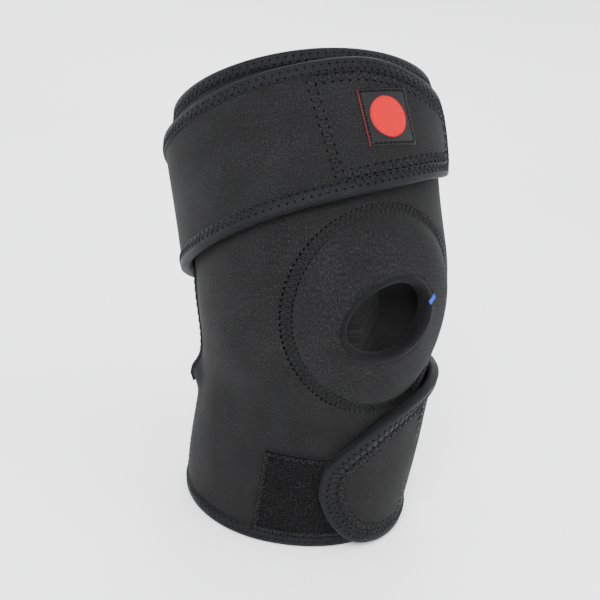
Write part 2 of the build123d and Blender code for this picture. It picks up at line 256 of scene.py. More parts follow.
def lay_line(spots: Sequence[Spot], level: Callable[[float, float], float],
             closed: bool = False) -> list[Stop]:
    """Lay a line of spots on the limb.

    Args:
        spots: (azimuth, station) spots.
        level: level of the cloth under the line, from azimuth and station.
        closed: whether the last spot is the first again.

    Returns:
        A stop for each spot.
    """
    places = [LIMB.point(azimuth, station, level(azimuth, station)) for azimuth, station in spots]
    stops: list[Stop] = []
    last = len(places) - 1
    for index, place in enumerate(places):
        before = places[index - 1] if index else (places[-2] if closed else place)
        after = places[index + 1] if index < last else (places[1] if closed else place)
        along = (after - before).normalized()
        out = LIMB.normal(*spots[index])
        stops.append(Stop(place, along, (out - along * out.dot(along)).normalized()))
    return stops


def even_stops(stops: Sequence[Stop], pitch: float) -> list[Stop]:
    """Space stops evenly along a line, a whole number of times."""
    lengths = [0.0]
    for here, there in zip(stops, stops[1:]):
        lengths.append(lengths[-1] + (there.place - here.place).length)
    count = max(2, round(lengths[-1] / pitch))
    spaced: list[Stop] = []
    index = 0
    for step in range(count + 1):
        wanted = lengths[-1] * step / count
        while index < len(stops) - 2 and lengths[index + 1] < wanted:
            index += 1
        run = max(lengths[index + 1] - lengths[index], 1e-9)
        part = (wanted - lengths[index]) / run
        here, there = stops[index], stops[index + 1]
        spaced.append(Stop(here.place.lerp(there.place, part),
                           here.along.lerp(there.along, part).normalized(),
                           here.out.lerp(there.out, part).normalized()))
    return spaced


def level_at(level: float) -> Callable[[float, float], float]:
    """The same level everywhere."""
    return lambda azimuth, station: level


# ---------------------------------------------------------------- meshes
def finish_mesh(name: str, mesh: bmesh.types.BMesh) -> bpy.types.Object:
    """Turn a bmesh into an object at the origin, linked to the scene."""
    data = bpy.data.meshes.new(name)
    for face in mesh.faces:
        face.smooth = True
    mesh.to_mesh(data)
    mesh.free()
    piece = bpy.data.objects.new(f"sewn_{name}", data)
    bpy.context.scene.collection.objects.link(piece)
    return piece


def grid_mesh(columns: int, rows: int, place: Callable[[float, float], Vector],
              cut: tuple[float, float]) -> bmesh.types.BMesh:
    """Shape a flat grid, keeping its flat size as the UV map.

    Args:
        columns: faces along u.
        rows: faces along v.
        place: point for u and v from 0 to 1.
        cut: flat width and length in metres, which the UV map spans.

    Returns:
        The shaped bmesh.
    """
    mesh = bmesh.new()
    bmesh.ops.create_grid(mesh, x_segments=columns, y_segments=rows, size=1)
    layer = mesh.loops.layers.uv.new("UVMap")
    where = {vert: ((vert.co.x + 1) / 2, (vert.co.y + 1) / 2) for vert in mesh.verts}
    for face in mesh.faces:
        for loop in face.loops:
            u, v = where[loop.vert]
            loop[layer].uv = (u * cut[0], v * cut[1])
    for vert, (u, v) in where.items():
        vert.co = place(u, v)
    return mesh


def thicken(mesh: bmesh.types.BMesh, thickness: float) -> None:
    """Give a sheet its thickness below its outer face."""
    bmesh.ops.recalc_face_normals(mesh, faces=mesh.faces[:])
    middle = sum((face.calc_center_median() for face in mesh.faces), Vector()) / len(mesh.faces)
    outwards = sum(face.normal.dot(face.calc_center_median() - middle) for face in mesh.faces)
    if outwards < 0:
        bmesh.ops.reverse_faces(mesh, faces=mesh.faces[:])
    bmesh.ops.solidify(mesh, geom=mesh.faces[:], thickness=thickness)


def sweep(name: str, stops: Sequence[Stop], profile: Profile, closed: bool = False) -> bpy.types.Object:
    """Sweep a closed profile along a line.

    Args:
        name: name of the piece.
        stops: the line.
        profile: (side, out) points round the section.
        closed: whether the line comes back to its start.

    Returns:
        The swept piece, closed at its ends.
    """
    columns, rows = len(stops) - 1, len(profile)
    ring = [*profile, profile[0]]
    girth = sum(math.dist(a, b) for a, b in zip(ring, ring[1:]))
    length = sum((b.place - a.place).length for a, b in zip(stops, stops[1:]))

    def place(u: float, v: float) -> Vector:
        stop, (side, out) = stops[round(u * columns)], ring[round(v * rows)]
        return stop.place + stop.side * side + stop.out * out

    mesh = grid_mesh(columns, rows, place, (length, girth))
    bmesh.ops.remove_doubles(mesh, verts=mesh.verts[:], dist=1e-6)
    if not closed:
        bmesh.ops.holes_fill(mesh, edges=[edge for edge in mesh.edges if edge.is_boundary], sides=rows + 2)
    bmesh.ops.recalc_face_normals(mesh, faces=mesh.faces[:])
    return finish_mesh(name, mesh)


def scatter(name: str, frames: Sequence[Matrix], segments: int = 6, rings: int = 4) -> bpy.types.Object:
    """Put a small round grain at each frame, as one piece."""
    grain = bmesh.new()
    bmesh.ops.create_uvsphere(grain, u_segments=segments, v_segments=rings, radius=1)
    grain.verts.index_update()
    corners = np.array([[*vert.co, 1.0] for vert in grain.verts])
    sides = [[vert.index for vert in face.verts] for face in grain.faces]
    grain.free()
    turned = np.einsum("nij,vj->nvi", np.array([[list(row) for row in matrix] for matrix in frames]), corners)
    faces = [[corner + first for corner in side]
             for first in range(0, len(frames) * len(corners), len(corners)) for side in sides]
    data = bpy.data.meshes.new(name)
    data.from_pydata(turned[:, :, :3].reshape(-1, 3).tolist(), [], faces)
    data.shade_smooth()
    piece = bpy.data.objects.new(f"sewn_{name}", data)
    bpy.context.scene.collection.objects.link(piece)
    return piece


def stretch_between(start: Vector, end: Vector, out: Vector, radius: float) -> Matrix:
    """Frame of a grain of thread that lies between two points."""
    along = end - start
    side = out.cross(along).normalized()
    rise = along.cross(side).normalized()
    scaled = [side * radius, rise * radius, along * 0.5]
    rows = [[scaled[column][row] for column in range(3)] for row in range(3)]
    return Matrix.Translation((start + end) / 2) @ Matrix(rows).to_4x4()


@dataclass(frozen=True)
class Seam:
    """A row of stitches, and the needle holes they go down into, whose shade is painted as dark discs."""

    stops: Sequence[Stop]
    pitch: float = 2.7 * MM
    width: float = 0.0
    offset: float = 0.0
    thread: float = 0.28 * MM
    lift: float = 0.1 * MM
    hole: float = 0.55 * MM

    def needle_points(self) -> list[tuple[Vector, Vector]]:
        """Points where the needle goes down, with the direction out of the cloth."""
        points = []
        for index, stop in enumerate(even_stops(self.stops, self.pitch)):
            swing = self.width / 2 * (1 if index % 2 else -1)
            points.append((stop.place + stop.side * (self.offset + swing) + stop.out * self.lift, stop.out))
        return points

    def threads(self) -> list[Matrix]:
        """Frames of the threads between the needle points."""
        points = self.needle_points()
        step = 1 if self.width else 2
        return [stretch_between(a[0], b[0], a[1], self.thread)
                for a, b in list(zip(points, points[1:]))[::step]]

    def holes(self) -> list[Matrix]:
        """Frames of the dark discs that paint the shade inside the needle holes."""
        # painted shade: a flat dark disc just under each needle point stands in for the shade in the hole
        flat = Matrix.Diagonal((self.hole, self.hole, 0.14 * MM, 1))
        return [Matrix.Translation(point - out * 0.06 * MM) @ out.to_track_quat("Z", "Y").to_matrix().to_4x4()
                @ flat for point, out in self.needle_points()]


def tape_seam(stops: Sequence[Stop]) -> Seam:
    """Zigzag that holds an edge tape, along the middle of its outer face."""
    return Seam(stops, pitch=1.9 * MM, width=2.9 * MM, offset=-3.9 * MM, thread=0.26 * MM, lift=0.98 * MM,
                hole=0.62 * MM)


def sew(name: str, seams: Sequence[Seam]) -> tuple[bpy.types.Object, bpy.types.Object]:
    """Make the threads of some seams, and the dark discs of painted shade in their needle holes.

    Args:
        name: name of the thread piece.
        seams: rows to sew.

    Returns:
        The threads, and the dark discs of painted shade in the needle holes beside them.
    """
    threads = scatter(name, [matrix for seam in seams for matrix in seam.threads()])
    # painted shade: near-black discs at the needle points stand in for the shade inside the holes
    holes = scatter(f"{name}_needle_holes", [matrix for seam in seams for matrix in seam.holes()], 6, 3)
    return threads, holes


def tape_profile(width: float, cloth: float, tape: float = 0.8 * MM) -> Profile:
    """Section of a tape folded over a cloth's edge: side 0 is the edge, out 0 the cloth's face."""
    lip, round_off = 0.05 * MM, 0.25 * MM
    return [(-width, -lip), (-width + round_off, tape * 0.85), (-width * 0.55, tape * 1.05),
            (-width * 0.2, tape),
            (0.1 * MM, tape * 0.8), (0.75 * MM, -0.1 * MM), (0.9 * MM, -cloth * 0.5),
            (0.75 * MM, -cloth + 0.1 * MM),
            (0.1 * MM, -cloth - tape * 0.8), (-width * 0.4, -cloth - tape),
            (-width + round_off, -cloth - tape * 0.85),
            (-width, -cloth + lip)]


# ---------------------------------------------------------------- finishes
def new_group(name: str, inputs: Sequence[tuple[str, str, float]],
              outputs: Sequence[str]) -> tuple[bpy.types.NodeTree, bpy.types.Node, bpy.types.Node]:
    """Start a shader group with named sockets."""
    group = bpy.data.node_groups.new(name, "ShaderNodeTree")
    for label, kind, value in inputs:
        socket = group.interface.new_socket(name=label, in_out="INPUT", socket_type=kind)
        if kind == "NodeSocketFloat":
            socket.default_value = value
    for label in outputs:
        group.interface.new_socket(name=label, in_out="OUTPUT", socket_type="NodeSocketFloat")
    return group, group.nodes.new("NodeGroupInput"), group.nodes.new("NodeGroupOutput")


def math_node(group: bpy.types.NodeTree, operation: str, first: object,
              second: object) -> bpy.types.NodeSocket:
    """Add a Math node and return its output."""
    node = group.nodes.new("ShaderNodeMath")
    node.operation = operation
    for socket, value in zip(node.inputs, (first, second)):
        if isinstance(value, (int, float)):
            socket.default_value = value
        else:
            group.links.new(value, socket)
    return node.outputs[0]


def knit_group() -> bpy.types.NodeTree:
    """Jersey knit: fine ribs of loops with flecks of lighter yarn, and slow mottling."""
    group, entry, leave = new_group("jersey_knit", [("Vector", "NodeSocketVector", 0),
                                                    ("Stitches", "NodeSocketFloat", 1100)],
                                    ["Fleck", "Mottle", "Height"])
    link = group.links.new
    ribs = group.nodes.new("ShaderNodeTexWave")
    ribs.inputs["Distortion"].default_value = 1.4
    ribs.inputs["Detail"].default_value = 1.0
    ribs.inputs["Detail Scale"].default_value = 2.0
    loops = group.nodes.new("ShaderNodeTexWave")
    loops.bands_direction = "Y"
    loops.inputs["Distortion"].default_value = 2.0
    flecks = group.nodes.new("ShaderNodeTexNoise")
    flecks.inputs["Detail"].default_value = 2.0
    flecks.inputs["Roughness"].default_value = 0.7
    mottle = group.nodes.new("ShaderNodeTexNoise")
    mottle.inputs["Scale"].default_value = 55.0
    mottle.inputs["Detail"].default_value = 3.0
    for node in (ribs, loops, flecks, mottle):
        link(entry.outputs["Vector"], node.inputs["Vector"])
    link(math_node(group, "MULTIPLY", entry.outputs["Stitches"], 0.16), ribs.inputs["Scale"])
    link(math_node(group, "MULTIPLY", entry.outputs["Stitches"], 0.22), loops.inputs["Scale"])
    link(entry.outputs["Stitches"], flecks.inputs["Scale"])
    link(flecks.outputs["Fac"], leave.inputs["Fleck"])
    link(mottle.outputs["Fac"], leave.inputs["Mottle"])
    weave = math_node(group, "MULTIPLY", ribs.outputs["Fac"], loops.outputs["Fac"])
    link(math_node(group, "ADD", weave, flecks.outputs["Fac"]), leave.inputs["Height"])
    return group


def lint_group() -> bpy.types.NodeTree:
    """Sparse specks of lint and pulled fibre."""
    group, entry, leave = new_group("lint", [("Vector", "NodeSocketVector", 0),
                                             ("Scale", "NodeSocketFloat", 400),
                                             ("Amount", "NodeSocketFloat", 0.1)], ["Speck"])
    link = group.links.new
    cells = group.nodes.new("ShaderNodeTexVoronoi")
    cells.feature = "F1"
    link(entry.outputs["Vector"], cells.inputs["Vector"])
    link(entry.outputs["Scale"], cells.inputs["Scale"])
    near = math_node(group, "LESS_THAN", cells.outputs["Distance"], 0.22)
    split = group.nodes.new("ShaderNodeSeparateColor")
    link(cells.outputs["Color"], split.inputs["Color"])
    chosen = math_node(group, "LESS_THAN", split.outputs[0], entry.outputs["Amount"])
    link(math_node(group, "MULTIPLY", near, chosen), leave.inputs["Speck"])
    return group


@dataclass(frozen=True)
class Cloth:
    """A cloth or thread finish.

    Fields give its colour and the colour of its highlights, the coarseness of its knit, how
    deep the knit is, its roughness, its sheen and how much lint it carries.
    """

    name: str
    colour: tuple[float, float, float]
    highlight: tuple[float, float, float]
    stitches: float = 1100.0
    depth: float = 0.15 * MM
    roughness: float = 0.85
    sheen: float = 0.25
    lint: float = 0.04
    on_uv: bool = True
    specular: float = 0.08

    def build(self, knit: bpy.types.NodeTree, lint: bpy.types.NodeTree) -> bpy.types.Material:
        """Build the material from the shared groups."""
        material = bpy.data.materials.new(self.name)
        material.use_nodes = True
        tree = material.node_tree
        link = tree.links.new
        shader = tree.nodes["Principled BSDF"]
        shader.inputs["Sheen Weight"].default_value = self.sheen
        shader.inputs["Sheen Roughness"].default_value = 0.45
        shader.inputs["Specular IOR Level"].default_value = self.specular
        place = tree.nodes.new("ShaderNodeTexCoord").outputs["UV" if self.on_uv else "Object"]
        weave = tree.nodes.new("ShaderNodeGroup")
        weave.node_tree = knit
        weave.inputs["Stitches"].default_value = self.stitches
        link(place, weave.inputs["Vector"])
        specks = tree.nodes.new("ShaderNodeGroup")
        specks.node_tree = lint
        specks.inputs["Scale"].default_value = self.stitches
        specks.inputs["Amount"].default_value = self.lint
        link(place, specks.inputs["Vector"])
        blend = math_node(tree, "MULTIPLY_ADD", weave.outputs["Fleck"], 0.92)
        shade = blend.node
        link(math_node(tree, "MULTIPLY", weave.outputs["Mottle"], 0.12), shade.inputs[2])
        ramp = tree.nodes.new("ShaderNodeValToRGB")
        ramp.color_ramp.elements[0].position = 0.36
        ramp.color_ramp.elements[0].color = (*[part * 0.55 for part in self.colour], 1)
        ramp.color_ramp.elements[1].position = 0.72
        ramp.color_ramp.elements[1].color = (*self.highlight, 1)
        middle = ramp.color_ramp.elements.new(0.53)
        middle.color = (*self.colour, 1)
        link(blend, ramp.inputs["Fac"])
        mix = tree.nodes.new("ShaderNodeMix")
        mix.data_type = "RGBA"
        link(specks.outputs["Speck"], mix.inputs["Factor"])
        link(ramp.outputs["Color"], mix.inputs["A"])
        mix.inputs["B"].default_value = (*[min(1.0, part * 2.0) for part in self.highlight], 1)
        link(mix.outputs["Result"], shader.inputs["Base Color"])
        rough = math_node(tree, "MULTIPLY_ADD", weave.outputs["Mottle"], -0.2)
        rough.node.inputs[2].default_value = self.roughness + 0.1
        link(rough, shader.inputs["Roughness"])
        bump = tree.nodes.new("ShaderNodeBump")
        bump.inputs["Distance"].default_value = self.depth
        bump.inputs["Strength"].default_value = 0.8
        link(weave.outputs["Height"], bump.inputs["Height"])
        link(bump.outputs["Normal"], shader.inputs["Normal"])
        return material


class Wardrobe:
    """All the finishes of the brace, each built once."""

    def __init__(self) -> None:
        """Build the shared groups and the finishes."""
        knit, lint = knit_group(), lint_group()
        cloths = (
            Cloth("jersey_neoprene", (0.0060, 0.0060, 0.0062), (0.0185, 0.0185, 0.0190), 1250, 0.2 * MM, 0.88,
                  0.02, 0.004),
            Cloth("binding_tape", (0.0030, 0.0030, 0.0037), (0.0095, 0.0095, 0.0115), 1700, 0.14 * MM, 0.6,
                  0.02, 0.0,
                  specular=0.1),
            Cloth("rim_knit", (0.0028, 0.0028, 0.0031), (0.0085, 0.0085, 0.0090), 1500, 0.14 * MM, 0.75, 0.02,
                  0.0),
            Cloth("black_thread", (0.0036, 0.0036, 0.0039), (0.0130, 0.0130, 0.0140), 2600, 0.05 * MM, 0.45,
                  0.02, 0.0,
                  False, 0.12),
            Cloth("grey_thread", (0.0052, 0.0052, 0.0056), (0.0200, 0.0200, 0.0210), 2600, 0.05 * MM, 0.45,
                  0.02, 0.0,
                  False, 0.12),
            # painted shade: this near-black, matte finish without specular stands in for the shade inside the needle
            # holes
            Cloth("needle_shadow", (0.0006, 0.0006, 0.0006), (0.001, 0.001, 0.001), 2600, 0.02 * MM, 0.95,
                  0.0, 0.0,
                  False, 0.0),
            Cloth("blue_thread", (0.012, 0.045, 0.40), (0.03, 0.10, 0.62), 2600, 0.05 * MM, 0.5, 0.02, 0.0,
                  False),
            Cloth("loop_pile", (0.0020, 0.0020, 0.0022), (0.007, 0.007, 0.0075), 900, 0.3 * MM, 0.95, 0.03,
                  0.03),
            Cloth("pile_fibre", (0.0025, 0.0025, 0.0027), (0.022, 0.022, 0.024), 900, 0.1 * MM, 0.9, 0.04,
                  0.04, False),
            Cloth("hook_tape", (0.009, 0.009, 0.010), (0.028, 0.028, 0.030), 1300, 0.2 * MM, 0.4, 0.0, 0.0,
                  False,
                  0.3),
            Cloth("label_satin", (0.0038, 0.0038, 0.0044), (0.0120, 0.0120, 0.0135), 2200, 0.1 * MM, 0.5,
                  0.02, 0.0,
                  specular=0.14),
            Cloth("label_border", (0.008, 0.008, 0.009), (0.034, 0.031, 0.032), 2600, 0.05 * MM, 0.5, 0.02,
                  0.0, False),
            Cloth("red_embroidery", (0.40, 0.0020, 0.0060), (0.62, 0.005, 0.012), 1900, 0.22 * MM, 0.5, 0.03,
                  0.0),
        )
        self.finishes = {cloth.name: cloth.build(knit, lint) for cloth in cloths}

    def sew(self, name: str, seams: Sequence[Seam], thread: str = "black_thread",
            slot: Slot = Slot.THREAD) -> tuple[bpy.types.Object, bpy.types.Object]:
        """Sew seams, and dress their threads and the painted shade of their needle holes.

        Args:
            name: name of the threads.
            seams: the seams to sew.
            thread: finish of the threads.
            slot: handed to dress, which does not use it.

        Returns:
            The threads and the painted shade of the needle holes.
        """
        threads, holes = sew(name, seams)
        # the needle holes get needle_shadow, a near-black finish that paints the shade inside them
        return self.dress(threads, thread, slot), self.dress(holes, "needle_shadow", slot)

    def dress(self, piece: bpy.types.Object, finish: str, slot: Slot) -> bpy.types.Object:
        """Give a piece its finish."""
        piece.data.materials.clear()
        piece.data.materials.append(self.finishes[finish])
        return piece


# ---------------------------------------------------------------- shared cloth sizes
@dataclass(frozen=True)
class Cut:
    """Thicknesses and widths that every sewn piece shares."""

    neoprene: float = 3.5 * MM
    tape_width: float = 6.5 * MM
    strap_level: float = 6.6 * MM
    left_edge: float = -116.0
    right_edge: float = 121.0


CUT = Cut()
knee_blend = (LIMB.knee - Vector((0, 0, 38 * MM)), LIMB.knee + LIMB.thigh_axis * 30 * MM)


def bend_at_knee(piece: bpy.types.Object) -> None:
    """Bake a sleeve piece's transform into its mesh; the knee blend points are read, but nothing bends between the
    calf and the thigh.
    """
    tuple(knee_blend[0])
    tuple(knee_blend[1])
    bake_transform(piece)


# ---------------------------------------------------------------- patella opening
@dataclass
class PatellaOpening:
    """Egg-shaped opening, its turned rim, the padded buttress and the ring that sews it."""

    wardrobe: Wardrobe
    half_long: float = 23 * MM
    half_short: float = 16.5 * MM
    tilt: float = math.radians(21)
    across: float = 2.5 * MM
    up: float = -2 * MM
    ring_half_width: float = 49 * MM
    ring_half_height: float = 48 * MM
    ring_across: float = 6 * MM
    ring_up: float = 2 * MM
    rim: float = 3 * MM
    stitch_width: float = 5.6 * MM

    def square_on(self, azimuth: float, station: float) -> Vector:
        """Across and up of a spot, seen square on at the knee."""
        half = LIMB.lean / 2
        spot = LIMB.base(azimuth, station, 0) - LIMB.knee
        return Vector((spot.x, spot.y * math.sin(half) + spot.z * math.cos(half)))

    def spot_of(self, across: float, up: float) -> Spot:
        """Spot of the surface that stands at across and up, seen square on."""
        azimuth, station = math.degrees(across / LIMB.half_width), LIMB.knee.z + up / 1.8
        for _ in range(12):
            here = self.square_on(azimuth, station)
            azimuth += math.degrees((across - here.x) / (LIMB.half_width * 1.15 * max(0.4, math.cos(math.radians(azimuth)))))
            station += (up - here.y) / 1.6
        return azimuth, station

    def hole_outline(self, turn: float, grow: float) -> Spot:
        """Across and up of the opening's edge at a turn, grown all round."""
        long, short = self.half_long + grow, self.half_short + grow
        x = long * math.cos(turn) * (1 + 0.04 * math.cos(turn))
        y = short * math.sin(turn) * (1 + 0.07 * math.cos(turn))
        return (self.across + x * math.cos(self.tilt) - y * math.sin(self.tilt),
                self.up + x * math.sin(self.tilt) + y * math.cos(self.tilt))

    def hole_field(self, azimuth: float, station: float) -> float:
        """Below 1 inside the opening with its rim, 1 on its edge."""
        here = self.square_on(azimuth, station) - Vector((self.across, self.up))
        x = here.x * math.cos(self.tilt) + here.y * math.sin(self.tilt)
        y = -here.x * math.sin(self.tilt) + here.y * math.cos(self.tilt)
        grow = self.rim - 1.2 * MM
        return math.hypot(x / (self.half_long + grow), y / (self.half_short + grow))

    def ring_field(self, azimuth: float, station: float) -> float:
        """Distance outside the sewn ring, negative inside it."""
        here = self.square_on(azimuth, station) - Vector((self.ring_across, self.ring_up))
        size = math.hypot(here.x / self.ring_half_width, here.y / self.ring_half_height)
        return (size - 1) * (self.ring_half_width + self.ring_half_height) / 2

    def level(self, azimuth: float, station: float) -> float:
        """Rise of the panel over the buttress and its groove along the ring."""
        if abs(azimuth) > 88 or not 40 * MM < station < 180 * MM:
            return 0.0
        apart = self.ring_field(azimuth, station)
        swell = 1.5 * MM * eased(-apart, 0.0, 12 * MM)
        groove = -1.2 * MM * bell(apart, 3.0 * MM) * eased(100 - abs(azimuth), 10, 40)
        lip = 0.7 * MM * bell(self.hole_field(azimuth, station) - 1.05, 0.12)
        return swell + groove + lip

    def outline_stops(self, outline: Callable[[float], Spot], count: int = 96) -> list[Stop]:
        """Lay a closed outline, given square on, on the panel."""
        spots = [self.spot_of(*outline(math.tau * step / count)) for step in range(count)]
        return lay_line([*spots, spots[0]], self.level, closed=True)

    def build(self) -> list[bpy.types.Object]:
        """Make the rim, the buttress, the ring stitching and the blue tack."""
        return [self.build_rim(), self.build_buttress(), *self.build_ring(), self.build_tack()]

    def build_rim(self) -> bpy.types.Object:
        """Turned tube round the opening, drawn in over the buttress."""
        stops = self.outline_stops(lambda turn: self.hole_outline(turn, 0))
        profile = [(-3.4 * MM, -0.35 * MM), (-2.6 * MM, 0.45 * MM), (-1.5 * MM, 0.75 * MM),
                   (-0.4 * MM, 0.45 * MM),
                   (0.3 * MM, -0.6 * MM), (0.45 * MM, -2.4 * MM), (0.35 * MM, -4.6 * MM), (0.0, -6.2 * MM),
                   (-1.0 * MM, -7.0 * MM), (-3.2 * MM, -7.0 * MM), (-3.6 * MM, -4.0 * MM)]
        rim = self.wardrobe.dress(sweep("patella_rim", stops, profile, closed=True), "rim_knit",
                                  Slot.RIM_TAPE)
        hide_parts("patella_rim_lower", "patella_rim_upper")
        bend_at_knee(rim)
        return rim

    def build_buttress(self) -> bpy.types.Object:
        """Soft pad inside the panel, from the rim out to the ring."""
        inner = CUT.neoprene + 0.3 * MM
        pad = 3 * MM

        def place(u: float, v: float) -> Vector:
            turn = math.tau * u
            hole = Vector(self.hole_outline(turn, self.rim + 0.4 * MM))
            edge = Vector((self.ring_across + self.ring_half_width * math.cos(turn + self.tilt),
                           self.ring_up + self.ring_half_height * math.sin(turn + self.tilt)))
            side = abs(2 * v - 1)
            along = 0.5 - 0.5 * math.cos(math.pi * side)
            spot = self.spot_of(*hole.lerp(edge, along))
            fullness = math.sin(math.pi * min(0.96, max(0.04, along))) ** 0.35
            drop = inner + (pad * fullness if v > 0.5 else 0.02 * MM)
            return LIMB.point(*spot, self.level(*spot) - drop)

        mesh = grid_mesh(72, 24, place, (260 * MM, 70 * MM))
        bmesh.ops.remove_doubles(mesh, verts=mesh.verts[:], dist=2e-5)
        bmesh.ops.holes_fill(mesh, edges=[edge for edge in mesh.edges if edge.is_boundary], sides=0)
        bmesh.ops.recalc_face_normals(mesh, faces=mesh.faces[:])
        pad_piece = self.wardrobe.dress(finish_mesh("patella_pad", mesh), "jersey_neoprene", Slot.NEOPRENE)
        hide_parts("patella_pad_lower", "patella_pad_upper")
        bend_at_knee(pad_piece)
        return pad_piece

    def build_ring(self) -> list[bpy.types.Object]:
        """Wide zigzag that sews the buttress on, with the painted shade of its needle holes."""
        stops = self.outline_stops(lambda turn: (self.ring_across + self.ring_half_width * math.cos(turn),
                                                 self.ring_up + self.ring_half_height * math.sin(turn)), 128)
        seams = [Seam(stops, pitch=1.35 * MM, width=self.stitch_width, thread=0.36 * MM, lift=0.6 * MM,
                      hole=0.85 * MM)]
        threads, holes = self.wardrobe.sew("ring_stitch", seams)
        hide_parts("ring_stitch_lower", "ring_stitch_upper")
        for piece in (threads, holes):
            bend_at_knee(piece)
        return [threads, holes]

    def build_tack(self) -> bpy.types.Object:
        """Blue bar tack that ends the rim's stitching."""
        random_wrap = random.Random(7)
        centre = self.spot_of(26.0 * MM, 7.5 * MM)
        stop = lay_line([centre, (centre[0] + 1, centre[1] + 0.6 * MM)], self.level)[0]
        frames = []
        for wrap in range(9):
            shift = stop.along * (wrap - 4) * 0.5 * MM + stop.out * (0.55 * MM)
            lean = stop.side * random_wrap.uniform(1.2, 1.8) * MM
            skew = stop.along * random_wrap.uniform(-0.3, 0.3) * MM
            start, end = stop.place + shift - lean, stop.place + shift + lean + skew
            frames.append(stretch_between(start, end, stop.out, 0.48 * MM))
        tack = self.wardrobe.dress(scatter("rim_tack", frames, 8, 5), "blue_thread", Slot.BLUE_THREAD)
        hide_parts("rim_tack")
        bend_at_knee(tack)
        return tack


# ---------------------------------------------------------------- main panel
EDGE_RADIUS = LIMB.half_width + 11 * MM


